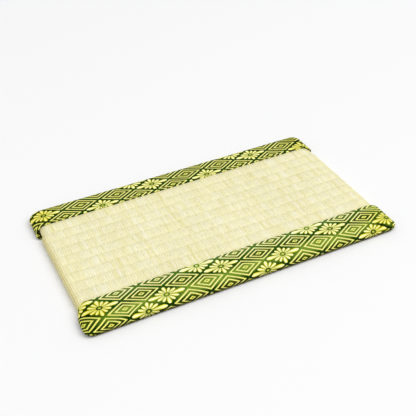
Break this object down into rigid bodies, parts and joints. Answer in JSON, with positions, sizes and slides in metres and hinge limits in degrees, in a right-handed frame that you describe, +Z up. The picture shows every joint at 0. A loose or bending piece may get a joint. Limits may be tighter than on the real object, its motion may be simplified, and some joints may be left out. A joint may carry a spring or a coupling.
{
  "type": "small tatami mat",
  "caption": "Flat rectangular mat of woven rush wrapped over its short ends, with patterned brocade tape folded round its long edges and closed over the corners.",
  "frame": {"origin": "centre of the underside, on the surface that the mat lies on", "axes": "+X along the mat's length and its woven rows, +Y across it from the wider binding to the narrower one, +Z up out of the woven face"},
  "size_m": [0.1824, 0.1068, 0.0056],
  "materials": {
    "woven_rush": "dry matt rush stalks with a faint sheen",
    "brocade": "satin-faced green ground with raised yellow figure threads"
  },
  "bodies": {
    "root": {"rush_mat": "woven_rush", "binding_near": "brocade", "binding_far": "brocade"}
  },
  "joints": []
}
